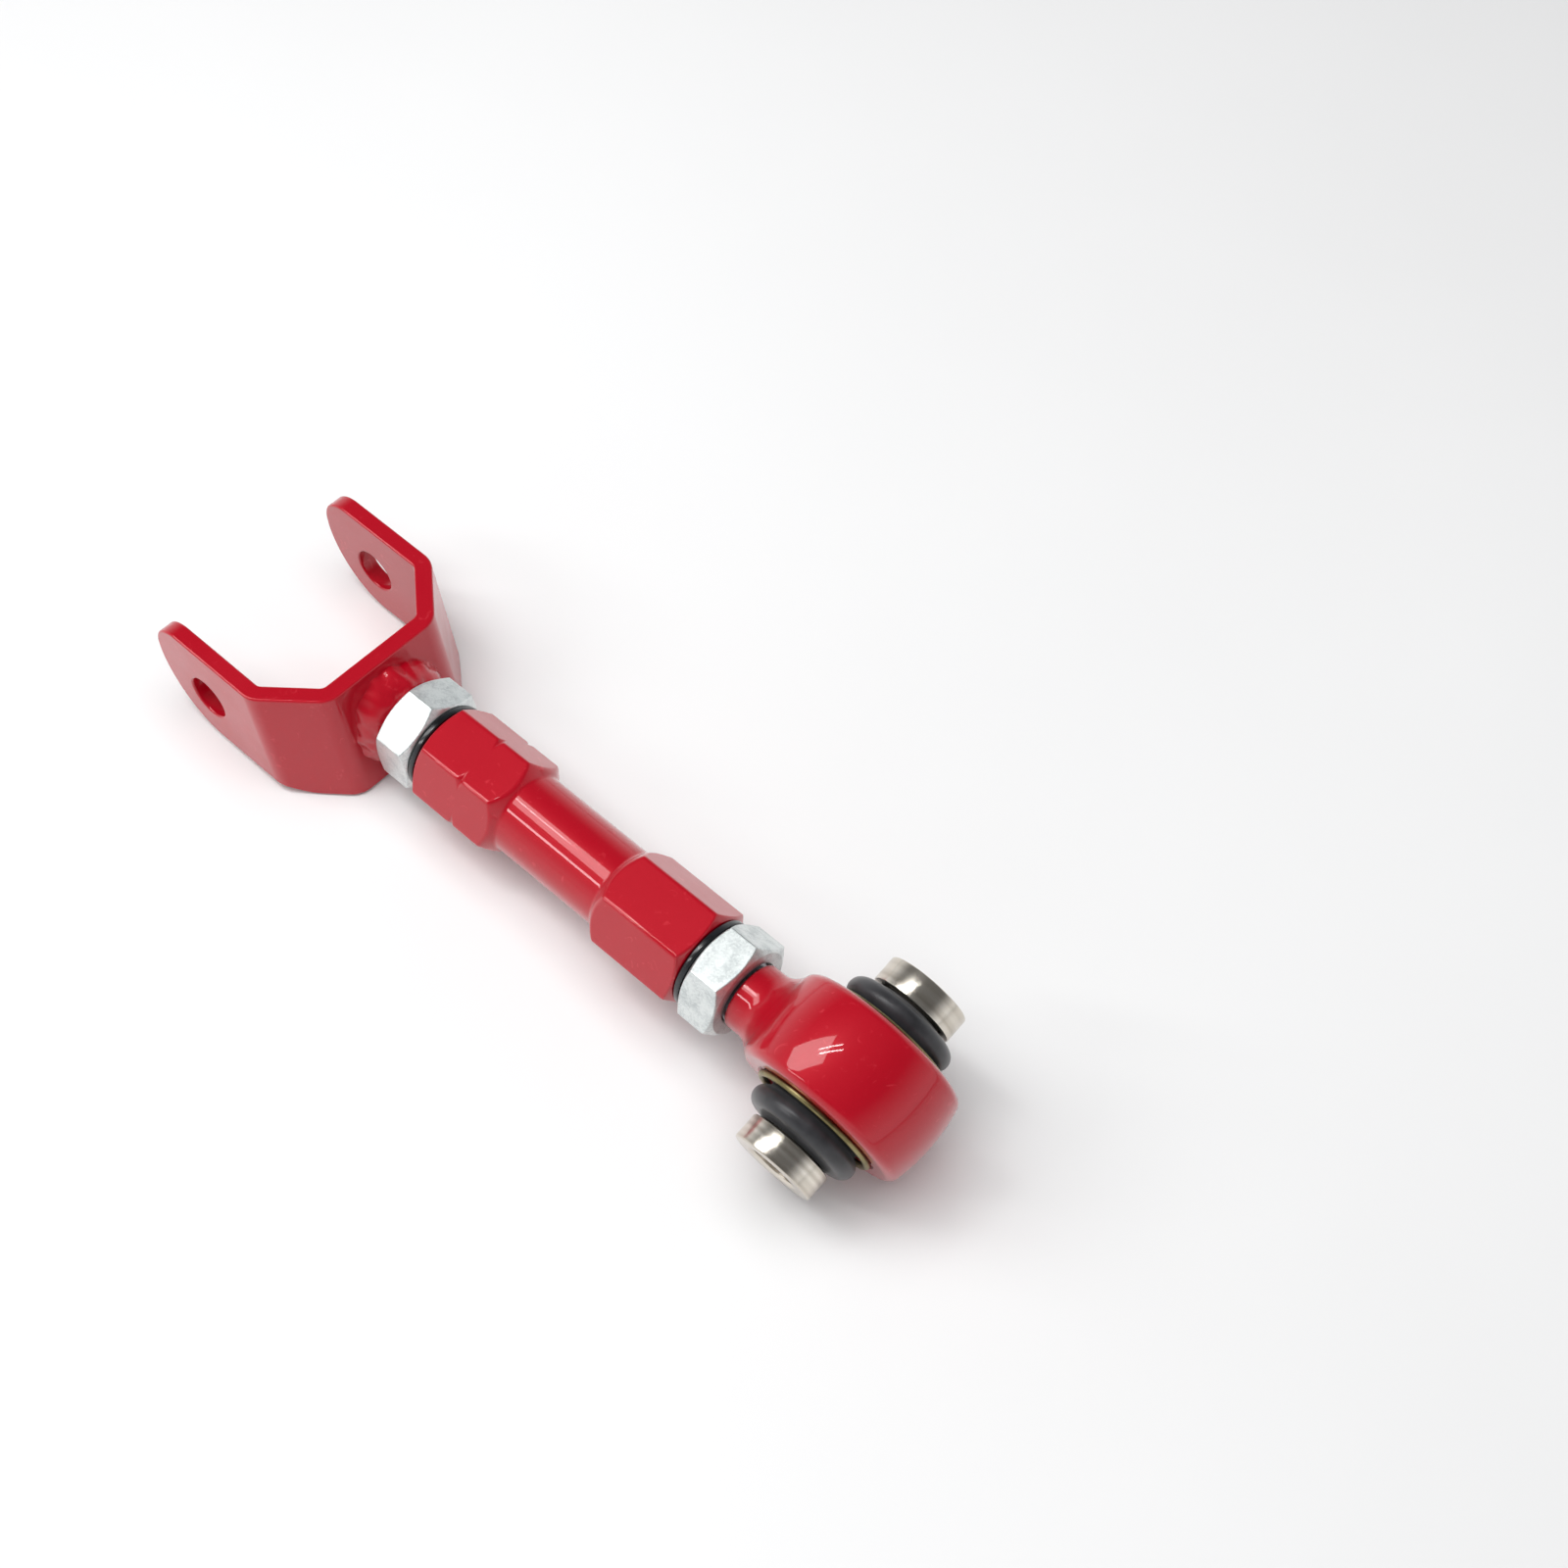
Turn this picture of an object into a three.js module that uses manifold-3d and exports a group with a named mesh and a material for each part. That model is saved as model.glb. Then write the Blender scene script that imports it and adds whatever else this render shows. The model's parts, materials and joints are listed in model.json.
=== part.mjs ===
// Adjustable rear suspension arm: a bent-plate clevis on a left-hand stud, a hex turnbuckle sleeve
// with two jam nuts, and a right-hand eye that carries a sealed spherical bearing.
// Units are millimetres. Every piece is first laid out from the clevis pin's centre, with +X along
// the arm to the eye, +Y along the clevis pin and +Z up; the last group moves it onto its base.
import * as THREE from "three";
import { mergeVertices } from "three/addons/utils/BufferGeometryUtils.js";
import Module from "manifold-3d";

const wasm = await Module();
wasm.setup();

// Clevis plate
const plate = 5; // thickness of the bent steel
const gapHalf = 28.15; // pin centre to an ear's inner face
const plateTop = 18.4; // straight upper edge above the arm's axis
const plateBottom = -18.6; // lower edge under the back of the clevis
const earBottom = -15.6; // lower edge under the ears
const backX = 35.6; // back's inner face, where the arm's axis meets it
const cornerX = 13.2; // slanted corner, measured along the arm
const cornerY = 11.4; // slanted corner, measured along the pin
const lean = Math.tan((10.4 * Math.PI) / 180); // the back and its bends lean to the eye going down
const bendInside = 2; // how far before a bend its inner edge begins to turn
const bendOutside = 4;
const earTipX = -19;
const earTipRadius = 9.5;
const earHole = 6.5; // radius for an M12 bolt

// Thread, stud and eye shank
const shank = 8.9; // radius of an M18 x 1.5 thread
const tapped = 9.25; // radius inside the nuts and the sleeve
const bossRadius = 10.5;
const bossEnd = 45.9;
const bossChamfer = 0.8;
const threadLead = 1.6; // chamfer at a thread's end
const studEnd = 104;
const weldWidth = 4.6;
const weldEnd = 45.6;

// Turnbuckle sleeve and jam nuts
const acrossFlats = 27;
const acrossCorners = acrossFlats / Math.cos(Math.PI / 6);
const nutLength = 11.9;
const nutForkX = 46.5; // end of the fork-side nut that faces the clevis
const ringLength = 1.8;
const ringRadius = 13.2;
const fit = 0.3; // gap between faces that touch
const sleeveX = nutForkX + nutLength + fit + ringLength + fit;
const sleeveLength = 96.8;
const sleeveEnd = sleeveX + sleeveLength;
const sleeveWaist = 12; // radius of the round middle
const hexOneEnd = 87.3; // the fork-side hex keeps its full corners up to here
const hexTwoStart = 130.6;
const notchX = 77; // ring groove that marks the left-hand thread on the corners
const notchDepth = 1.05;
const waistEase = 0.6; // softens the root of the slopes down to the waist
const sink = 0.9; // countersink of each tapped hole
const sleeveAngle = THREE.MathUtils.degToRad(9.7); // a corner of each hex, from +Y
const nutForkAngle = THREE.MathUtils.degToRad(32);
const nutEyeAngle = THREE.MathUtils.degToRad(10.8);
const faceRadius = 12.9; // flat face left on a hex's end by its turned chamfer
const envelope = acrossCorners / 2 + 0.05;
const chamferX = (envelope - faceRadius) * Math.tan(Math.PI / 6);
const nutEyeX = sleeveEnd + fit + ringLength + fit;

// Eye and bearing, along the bearing's own axis s
const eyeX = 207.3; // pin centre to ball centre at the shortest setting
const clock = (14.4 * Math.PI) / 180; // the bearing's axis is turned this far about the arm
const eyeRadius = 26.4;
const eyeHalf = 13.5;
const eyeEdgeRadius = 25.2; // the crown falls to this at the corners
const eyeCorner = 2.2;
const eyeBore = 17.75;
const neckRadius = 9.75;
const neckX = 172.5;
const neckChamfer = 0.6;
const neckFillet = 7; // radius where the neck swells into the barrel
const eyeShankX = 116.5;
const raceHalf = 9.8;
const raceRadius = 17.5;
const raceSphere = 15.2;
const raceMouth = 8.2; // the spherical part's half length
const raceLip = 14.4;
const raceEdge = 0.5;
const linerOut = 14.95;
const linerIn = 14.45;
const linerHalf = 8.4;
const ballRadius = 14.2;
const ballHalf = 10.4;
const ballBore = 8.3;
const circlipIn = 15.6;
const circlipOut = 18.6;
const circlipStart = 10.1;
const circlipEnd = 11.3;
const grooveSlack = 0.1; // a circlip's groove is this much longer at each side
const wireRadius = 1; // section of the boot's retaining ring
const wireCircle = 17.35;
const wirePlace = 14.05;
const boltBore = 7.1; // radius for an M14 bolt
const spacerInsert = 8;
const spacerNeck = 9;
const flangeRadius = 12.1;
const flangeStart = 22.8;
const spacerEnd = 30.1;
const bootWall = 0.6; // half of the rubber's thickness

const round = 32; // sides of a turned piece
const materials = {
  paint: new THREE.MeshStandardMaterial({ color: 0xb3001f, roughness: 0.3, metalness: 0.2 }),
  zinc: new THREE.MeshStandardMaterial({ color: 0xc9ced3, roughness: 0.35, metalness: 1 }),
  blackRing: new THREE.MeshStandardMaterial({ color: 0x0c0d10, roughness: 0.25, metalness: 0.3 }),
  goldZinc: new THREE.MeshStandardMaterial({ color: 0xa39358, roughness: 0.35, metalness: 1 }),
  rubber: new THREE.MeshStandardMaterial({ color: 0x2b2b2f, roughness: 0.6, metalness: 0 }),
  stainless: new THREE.MeshStandardMaterial({ color: 0xb8ad9c, roughness: 0.3, metalness: 1 }),
  race: new THREE.MeshStandardMaterial({ color: 0x8e9296, roughness: 0.25, metalness: 1 }),
  liner: new THREE.MeshStandardMaterial({ color: 0x6b5a45, roughness: 0.7, metalness: 0 }),
};

// A closed three.js geometry as a solid that can be joined and cut.
function solid(geometry) {
  const bare = geometry.clone();
  bare.deleteAttribute("normal");
  bare.deleteAttribute("uv");
  const merged = mergeVertices(bare, 1e-4);
  const triVerts = new Uint32Array(merged.index.array);
  const vertProperties = merged.attributes.position.array;
  return new wasm.Manifold(new wasm.Mesh({ numProp: 3, vertProperties, triVerts }));
}

// A solid back as a three.js geometry.
function geometryOf(body) {
  const mesh = body.getMesh();
  const geometry = new THREE.BufferGeometry();
  geometry.setAttribute("position", new THREE.BufferAttribute(mesh.vertProperties, 3));
  geometry.setIndex(new THREE.BufferAttribute(mesh.triVerts, 1));
  geometry.computeVertexNormals();
  return geometry;
}

// Turns a geometry's faces outwards, because a profile may run either way round.
function outward(geometry) {
  const { index } = geometry;
  const { position } = geometry.attributes;
  const corners = [new THREE.Vector3(), new THREE.Vector3(), new THREE.Vector3()];
  let volume = 0;
  for (let i = 0; i < index.count; i += 3) {
    corners.forEach((corner, k) => corner.fromBufferAttribute(position, index.getX(i + k)));
    volume += corners[0].dot(corners[1].cross(corners[2]));
  }
  if (volume < 0) index.array.reverse();
  return geometry;
}

// Turned piece about X, from [x, radius] points that end on the axis or close on themselves.
function turned(points, sides) {
  const profile = points.map(([x, r]) => new THREE.Vector2(r, x));
  return outward(new THREE.LatheGeometry(profile, sides).rotateZ(-Math.PI / 2));
}

function rod(points, sides = round) {
  return turned([[points[0][0], 0], ...points, [points.at(-1)[0], 0]], sides);
}

function ring(points, sides = round) {
  return turned([...points, points[0]], sides);
}

// Points [s, radius] along a sphere about the origin, between two places on its axis.
function sphereArc(radius, from, to, steps) {
  return Array.from({ length: steps + 1 }, (_, i) => {
    const s = from + ((to - from) * i) / steps;
    return [s, Math.sqrt(radius * radius - s * s)];
  });
}

// Points [s, radius] round a circle in the profile's plane, by angle in degrees.
function circleArc(s, r, radius, from, to, steps) {
  return Array.from({ length: steps + 1 }, (_, i) => {
    const angle = THREE.MathUtils.degToRad(from + ((to - from) * i) / steps);
    return [s + radius * Math.cos(angle), r + radius * Math.sin(angle)];
  });
}

// A profile and its mirror image, as one line of points from -s to +s.
function bothSides(points) {
  return [...points.map(([s, r]) => [-s, r]).reverse(), ...points];
}

// Outline with its corners eased: each point is [x, y, size of the easing].
function easedShape(points) {
  const shape = new THREE.Shape();
  points.forEach(([x, y, ease], i) => {
    const corner = new THREE.Vector2(x, y);
    const before = new THREE.Vector2(...points.at(i - 1)).sub(corner);
    const after = new THREE.Vector2(...points[(i + 1) % points.length]).sub(corner);
    before.setLength(ease).add(corner);
    after.setLength(ease).add(corner);
    if (i) shape.lineTo(before.x, before.y);
    else shape.moveTo(before.x, before.y);
    if (ease) shape.quadraticCurveTo(x, y, after.x, after.y);
  });
  shape.closePath();
  return shape;
}

// Moves a geometry's x so that it follows the lean of the clevis back.
function leaned(geometry) {
  return geometry.applyMatrix4(new THREE.Matrix4().set(1, 0, -lean, 0, 0, 1, 0, 0, 0, 0, 1, 0, 0, 0, 0, 1));
}

// Bent plate, seen from above: ear, slanted corner, back, slanted corner, ear.
function clevisPlan() {
  const outer = gapHalf + plate;
  const miter = plate * Math.tan(Math.PI / 8);
  const tip = earTipX - 5;
  const outside = [
    [tip, outer, 0],
    [backX - cornerX + miter, outer, bendOutside],
    [backX + plate, gapHalf - cornerY + miter, bendOutside],
  ];
  const inside = [
    [tip, gapHalf, 0],
    [backX - cornerX, gapHalf, bendInside],
    [backX, gapHalf - cornerY, bendInside],
  ];
  const mirrored = (points) => points.map(([x, y, ease]) => [x, -y, ease]);
  return easedShape([
    ...mirrored(outside),
    ...outside.toReversed(),
    ...inside,
    ...mirrored(inside).toReversed(),
  ]);
}

// The plate from the side: a straight upper edge, a rounded ear tip and a lower edge that swells.
function clevisSide() {
  const past = backX + 20;
  const tipZ = plateTop - earTipRadius;
  const shape = new THREE.Shape();
  shape.moveTo(past, plateTop);
  shape.lineTo(earTipX + earTipRadius, plateTop);
  shape.absarc(earTipX + earTipRadius, tipZ, earTipRadius, Math.PI / 2, Math.PI, false);
  shape.bezierCurveTo(earTipX, -4, -9, earBottom, 2, earBottom);
  shape.lineTo(backX - cornerX, earBottom);
  shape.bezierCurveTo(backX - 7, earBottom, backX - 7, plateBottom, backX, plateBottom);
  shape.lineTo(past, plateBottom);
  shape.closePath();
  return shape;
}

function clevisPlate() {
  const height = plateTop - plateBottom;
  const width = 2 * (gapHalf + plate) + 4;
  const smooth = { bevelEnabled: false, curveSegments: 16 };
  const channel = new THREE.ExtrudeGeometry(clevisPlan(), { ...smooth, depth: height, curveSegments: 6 });
  channel.translate(0, 0, plateBottom);
  const side = new THREE.ExtrudeGeometry(clevisSide(), { ...smooth, depth: width });
  side.rotateX(Math.PI / 2).translate(0, width / 2, 0);
  const hole = new THREE.CylinderGeometry(earHole, earHole, width, 40);
  return geometryOf(solid(leaned(channel)).intersect(solid(side)).subtract(solid(hole)));
}

// Everything up to the clevis back's outer face and a gap, to trim what is welded there.
function behindBack() {
  const block = new THREE.BoxGeometry(60, 80, 80);
  return solid(leaned(block.translate(backX + plate + fit - 30, 0, 0)));
}

function clevisStud() {
  const bar = rod([
    [backX, bossRadius],
    [bossEnd - bossChamfer, bossRadius],
    [bossEnd, bossRadius - bossChamfer],
    [bossEnd, shank],
    [studEnd - threadLead, shank],
    [studEnd, shank - threadLead],
  ]);
  return geometryOf(solid(bar).subtract(behindBack()));
}

// Fillet weld round the boss: its base leans with the back and its end is square to the stud.
function clevisWeld() {
  const face = backX + plate + fit;
  const inner = bossRadius + fit;
  const length = weldEnd - face;
  const bulge = circleArc(0, 0, 0.96, 78, 12, 4);
  const bead = ring([
    [face, inner],
    [face, inner + weldWidth],
    ...bulge.map(([x, r]) => [face + x * length, inner + r * weldWidth]),
    [weldEnd, inner],
  ]);
  const { position } = bead.attributes;
  for (let i = 0; i < position.count; i++) {
    const x = position.getX(i);
    position.setX(i, x - (lean * position.getZ(i) * (weldEnd - x)) / length);
  }
  return bead;
}

// Hex bar along X, with a corner at the given angle from +Y.
function hexBar(startX, length, angle) {
  const shape = new THREE.Shape();
  for (let i = 0; i < 6; i++) {
    const turn = angle + (i * Math.PI) / 3;
    const y = (acrossCorners / 2) * Math.cos(turn);
    const z = (acrossCorners / 2) * Math.sin(turn);
    if (i) shape.lineTo(y, z);
    else shape.moveTo(y, z);
  }
  shape.closePath();
  const bar = new THREE.ExtrudeGeometry(shape, { depth: length, bevelEnabled: false });
  const unitX = new THREE.Vector3(1, 0, 0);
  const unitY = new THREE.Vector3(0, 1, 0);
  const unitZ = new THREE.Vector3(0, 0, 1);
  return solid(bar.applyMatrix4(new THREE.Matrix4().makeBasis(unitY, unitZ, unitX)).translate(startX, 0, 0));
}

// Hole tapped along X, with a countersink at each end.
function tappedHole(startX, endX) {
  const past = 1;
  return solid(
    rod([
      [startX - past, tapped + sink + past],
      [startX + sink, tapped],
      [endX - sink, tapped],
      [endX + past, tapped + sink + past],
    ]),
  );
}

// Jam nut: a hex whose corners are turned down at both faces.
function jamNut(startX, angle) {
  const endX = startX + nutLength;
  const turnedDown = rod([
    [startX, faceRadius],
    [startX + chamferX, envelope],
    [endX - chamferX, envelope],
    [endX, faceRadius],
  ]);
  const body = solid(turnedDown).intersect(hexBar(startX, nutLength, angle));
  return geometryOf(body.subtract(tappedHole(startX, endX)));
}

function lockRing(startX) {
  const endX = startX + ringLength;
  const edge = 0.4;
  return ring([
    [startX, tapped],
    [startX, ringRadius - edge],
    [startX + edge, ringRadius],
    [endX - edge, ringRadius],
    [endX, ringRadius - edge],
    [endX, tapped],
  ]);
}

// Long sleeve, hex at both ends and turned round between them, tapped right through.
function turnbuckleSleeve() {
  const drop = envelope - sleeveWaist;
  const turnedDown = rod(
    [
      [sleeveX, faceRadius],
      [sleeveX + chamferX, envelope],
      [notchX - notchDepth, envelope],
      [notchX, envelope - notchDepth],
      [notchX + notchDepth, envelope],
      [hexOneEnd, envelope],
      [hexOneEnd + drop - waistEase, sleeveWaist + waistEase],
      [hexOneEnd + drop + 1.5 * waistEase, sleeveWaist],
      [hexTwoStart - drop - 1.5 * waistEase, sleeveWaist],
      [hexTwoStart - drop + waistEase, sleeveWaist + waistEase],
      [hexTwoStart, envelope],
      [sleeveEnd - chamferX, envelope],
      [sleeveEnd, faceRadius],
    ],
    40,
  );
  const body = solid(turnedDown).intersect(hexBar(sleeveX, sleeveLength, sleeveAngle));
  return geometryOf(body.subtract(tappedHole(sleeveX, sleeveEnd)));
}

// Turns a geometry made along X onto the bearing's axis, at the eye.
function alongBearing(geometry) {
  return geometry
    .rotateZ(Math.PI / 2)
    .rotateX(clock)
    .translate(eyeX, 0, 0);
}

// Crowned outside of the eye, as [s, radius] points from one face to the other.
function eyeProfile() {
  const crown = [0.25, 0.5, 0.75, 1].map((part) => {
    const s = part * (eyeHalf - eyeCorner);
    return [s, eyeRadius - (eyeRadius - eyeEdgeRadius) * part * part];
  });
  const rounding = circleArc(eyeHalf - eyeCorner, eyeEdgeRadius - eyeCorner, eyeCorner, 60, 0, 3);
  return bothSides([...crown, ...rounding]);
}

// Bore of the eye, stepped for the race, the two circlips and the two wire rings.
function eyeBoreProfile() {
  const groove = circlipOut + fit;
  return bothSides([
    [circlipStart - grooveSlack, eyeBore],
    [circlipStart - grooveSlack, groove],
    [circlipEnd + grooveSlack, groove],
    [circlipEnd + grooveSlack, eyeBore],
    [wirePlace - wireRadius - 0.2, eyeBore],
    [wirePlace - wireRadius - 0.2, wireCircle + wireRadius + fit],
    [eyeHalf + 2, wireCircle + wireRadius + fit],
  ]);
}

function eyeHousing() {
  const barrel = solid(alongBearing(rod(eyeProfile(), 40)));
  const bore = solid(alongBearing(rod(eyeBoreProfile())));
  const root = eyeX - eyeRadius;
  const shankAndNeck = rod([
    [eyeShankX, shank - threadLead],
    [eyeShankX + threadLead, shank],
    [neckX, shank],
    [neckX, neckRadius - neckChamfer],
    [neckX + neckChamfer, neckRadius],
    ...circleArc(root - neckFillet / 2, neckRadius + neckFillet, neckFillet, 270, 330, 5),
    [root + 12, neckRadius + 5],
  ]);
  return geometryOf(solid(shankAndNeck).add(barrel).subtract(bore));
}

function bearingRace() {
  return ring([
    ...sphereArc(raceSphere, -raceMouth, raceMouth, 6),
    [raceHalf, raceLip],
    [raceHalf, raceRadius - raceEdge],
    [raceHalf - raceEdge, raceRadius],
    [raceEdge - raceHalf, raceRadius],
    [-raceHalf, raceRadius - raceEdge],
    [-raceHalf, raceLip],
  ]);
}

function bearingLiner() {
  const outside = sphereArc(linerOut, -linerHalf, linerHalf, 5);
  return ring([...outside, ...sphereArc(linerIn, linerHalf, -linerHalf, 5)]);
}

function bearingBall() {
  const outside = sphereArc(ballRadius, -ballHalf, ballHalf, 8);
  return ring([[-ballHalf, ballBore], ...outside, [ballHalf, ballBore]]);
}

// Internal circlip, split where its ends face each other.
function circlip(side) {
  const flat = ring([
    [side * circlipStart, circlipIn],
    [side * circlipStart, circlipOut],
    [side * circlipEnd, circlipOut],
    [side * circlipEnd, circlipIn],
  ]);
  const middle = (circlipStart + circlipEnd) / 2;
  const split = new THREE.BoxGeometry(4, 10, 5).translate(side * middle, circlipOut, 0);
  return geometryOf(solid(flat).subtract(solid(split)));
}

// Round-wire ring that holds a boot's flange in the mouth of the eye.
function wireRing(side) {
  return ring(circleArc(side * wirePlace, wireCircle, wireRadius, 0, 315, 7));
}

// Rubber boot: a flange under the wire ring, one rolled fold, and a lip on the spacer's neck.
function dustBoot(side) {
  const middle = [
    [12.2, 17.1],
    [12.2, 14.2],
    [13, 13.2],
    ...circleArc(18.1, 13.1, 2.6, 165, -5, 5),
    [21.1, 11.4],
    [21.7, 9.95],
  ];
  const offset = (distance) =>
    middle.map(([s, r], i) => {
      const [s0, r0] = middle[Math.max(i - 1, 0)];
      const [s1, r1] = middle[Math.min(i + 1, middle.length - 1)];
      const size = Math.hypot(s1 - s0, r1 - r0);
      return [side * (s - ((r1 - r0) / size) * distance), r + ((s1 - s0) / size) * distance];
    });
  return ring([...offset(bootWall), ...offset(-bootWall).toReversed()], 24);
}

// Stainless spacer: a spigot in the ball, a neck for the boot's lip and a flange the bracket clamps.
function spacer(side) {
  const edge = 0.5;
  const outline = [
    [0.2, boltBore],
    [0.2, spacerInsert],
    [ballHalf + fit, spacerInsert],
    [ballHalf + fit, spacerNeck],
    [flangeStart, spacerNeck],
    [flangeStart, flangeRadius - edge],
    [flangeStart + edge, flangeRadius],
    [spacerEnd - edge, flangeRadius],
    [spacerEnd, flangeRadius - edge],
    [spacerEnd, boltBore + edge],
    [spacerEnd - edge, boltBore],
  ];
  return ring(outline.map(([s, r]) => [side * s, r]));
}

function named(name, geometry, material) {
  const mesh = new THREE.Mesh(geometry, material);
  mesh.name = name;
  return mesh;
}

const clevis = new THREE.Group();
clevis.add(
  named("fork_bracket", clevisPlate(), materials.paint),
  named("fork_stud", clevisStud(), materials.paint),
  named("fork_weld", clevisWeld(), materials.paint),
);

const turnbuckle = new THREE.Group();
turnbuckle.add(
  named("jam_nut_fork", jamNut(nutForkX, nutForkAngle), materials.zinc),
  named("lock_ring_fork", lockRing(nutForkX + nutLength + fit), materials.blackRing),
  named("turnbuckle_sleeve", turnbuckleSleeve(), materials.paint),
  named("lock_ring_eye", lockRing(sleeveEnd + fit), materials.blackRing),
  named("jam_nut_eye", jamNut(nutEyeX, nutEyeAngle), materials.zinc),
);

const bearing = new THREE.Group();
bearing.rotation.set(clock, 0, Math.PI / 2);
bearing.position.x = eyeX;
bearing.add(
  named("bearing_race", bearingRace(), materials.race),
  named("bearing_liner", bearingLiner(), materials.liner),
  named("bearing_ball", bearingBall(), materials.race),
);
for (const [end, side] of Object.entries({ left: 1, right: -1 })) {
  bearing.add(
    named(`race_circlip_${end}`, circlip(side), materials.zinc),
    named(`dust_boot_${end}`, dustBoot(side), materials.rubber),
    named(`boot_ring_${end}`, wireRing(side), materials.goldZinc),
    named(`spacer_${end}`, spacer(side), materials.stainless),
  );
}

const group = new THREE.Group();
group.add(clevis, turnbuckle, named("eye_housing", eyeHousing(), materials.paint), bearing);

// The origin is under the middle of the arm's length, level with the eye's lowest point.
const extent = new THREE.Box3().setFromObject(group);
group.position.set(-(extent.min.x + extent.max.x) / 2, 0, -extent.min.z);

export default group;
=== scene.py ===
import json
import math
import bmesh
import bpy
import numpy as np
from mathutils import Matrix, Vector, noise


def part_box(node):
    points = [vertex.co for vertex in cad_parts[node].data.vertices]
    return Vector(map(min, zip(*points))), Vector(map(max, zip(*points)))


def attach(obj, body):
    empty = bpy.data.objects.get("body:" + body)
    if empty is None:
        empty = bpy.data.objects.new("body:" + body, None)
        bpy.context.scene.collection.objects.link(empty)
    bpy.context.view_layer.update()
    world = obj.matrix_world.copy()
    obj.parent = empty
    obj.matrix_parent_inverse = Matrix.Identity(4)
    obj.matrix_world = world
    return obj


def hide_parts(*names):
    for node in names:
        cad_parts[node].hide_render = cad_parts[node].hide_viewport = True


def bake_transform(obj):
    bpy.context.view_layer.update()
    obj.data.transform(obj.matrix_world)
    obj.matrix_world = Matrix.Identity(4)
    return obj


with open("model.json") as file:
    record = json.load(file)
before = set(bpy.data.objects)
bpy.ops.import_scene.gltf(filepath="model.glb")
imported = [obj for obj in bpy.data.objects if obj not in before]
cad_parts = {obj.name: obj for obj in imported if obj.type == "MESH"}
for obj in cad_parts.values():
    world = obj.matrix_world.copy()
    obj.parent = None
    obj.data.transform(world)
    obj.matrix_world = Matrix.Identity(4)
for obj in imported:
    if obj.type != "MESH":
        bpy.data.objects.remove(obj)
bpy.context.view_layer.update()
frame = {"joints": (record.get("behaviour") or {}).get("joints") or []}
print("frame loaded")

# lengths below are in mm: along the arm from the fork's bolt centre, or along the bearing from its centre
mm = 0.001
joints = {joint["name"]: joint for joint in frame["joints"]}
eyeCentre = Vector(joints["bearing_turn"]["pos_m"])
bearingAxis = Vector(joints["bearing_turn"]["axis"]).normalized()
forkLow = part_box("fork_bracket")[0]
tipX = -19
pinCentre = Vector((forkLow.x - tipX * mm, 0, eyeCentre.z))
armFrame = Matrix.Translation(pinCentre) @ Matrix.Scale(mm, 4)
alongBearing = Vector((1, 0, 0)).rotation_difference(bearingAxis).to_matrix().to_4x4()
bearingFrame = Matrix.Translation(eyeCentre) @ alongBearing @ Matrix.Scale(mm, 4)
eyeX = (eyeCentre.x - pinCentre.x) / mm


def span(node):
    low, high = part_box(node)
    return (low.x - pinCentre.x) / mm, (high.x - pinCentre.x) / mm


cameraSet = {
    "lens": 61.5,
    "fromPin": Vector((407.6, -248.9, 593.3)),
    "right": Vector((0.7334, 0.6797, 0.0093)),
    "up": Vector((-0.5641, 0.6009, 0.5663)),
}


def makeCamera():
    data = bpy.data.cameras.new("camera")
    data.lens = cameraSet["lens"]
    data.clip_start = 0.01
    camera = bpy.data.objects.new("camera", data)
    right = cameraSet["right"].normalized()
    back = right.cross(cameraSet["up"]).normalized()
    up = back.cross(right)
    camera.matrix_world = Matrix.Translation(pinCentre + cameraSet["fromPin"] * mm) @ Matrix(
        (right, up, back)
    ).transposed().to_4x4()
    bpy.context.scene.collection.objects.link(camera)
    bpy.context.scene.camera = camera


floorSet = {"half": 3.0, "gap": 0.00005, "restX": 33.0}


def makeFloor(material):
    # the arm lies on the eye and on the lower edge of the fork's back, so the floor tips to meet both
    drop = eyeCentre.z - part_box("eye_housing")[0].z
    reach = (eyeX - floorSet["restX"]) * mm
    lift = eyeCentre.z - forkLow.z
    tip = math.asin((drop - lift) / reach)
    normal = Vector((math.sin(tip), 0, math.cos(tip)))
    centre = eyeCentre - normal * (drop + floorSet["gap"])
    half = floorSet["half"]
    mesh = bpy.data.meshes.new("floor")
    corners = [(-half, -half, 0), (half, -half, 0), (half, half, 0), (-half, half, 0)]
    mesh.from_pydata(corners, [], [(0, 1, 2, 3)])
    mesh.materials.append(material)
    floor = bpy.data.objects.new("floor", mesh)
    floor.matrix_world = Matrix.Translation(centre) @ Matrix.Rotation(tip, 4, "Y")
    bpy.context.scene.collection.objects.link(floor)


# a light that isn't glossy brightens the scene but shows in no reflection
lights = {
    "overhead": {
        "at": (0.1, -0.1, 1.2),
        "size": (1.2, 1.2),
        "along": (1, 0, 0),
        "power": 12.5,
        "glossy": False,
    },
    "softBox": {
        "at": (-0.6, -0.33, 0.96),
        "size": (0.75, 0.4),
        "along": (2, 1, 0),
        "power": 4.2,
        "glossy": True,
    },
    "tubeOne": {
        "at": (-0.43, -0.2, 1.42),
        "size": (0.5, 0.018),
        "along": (2, 1, 0),
        "power": 1,
        "glossy": True,
    },
    "tubeTwo": {
        "at": (-0.33, -0.25, 1.42),
        "size": (0.5, 0.018),
        "along": (2, 1, 0),
        "power": 1,
        "glossy": True,
    },
    "sideStrip": {
        "at": (-0.58, -0.86, 0.8),
        "size": (0.6, 0.1),
        "along": (5, 0, 4),
        "power": 2,
        "glossy": True,
    },
}
worldLight = {"colour": (0.97, 0.98, 1.0, 1), "horizon": 0.95, "zenith": 0.12}


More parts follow.
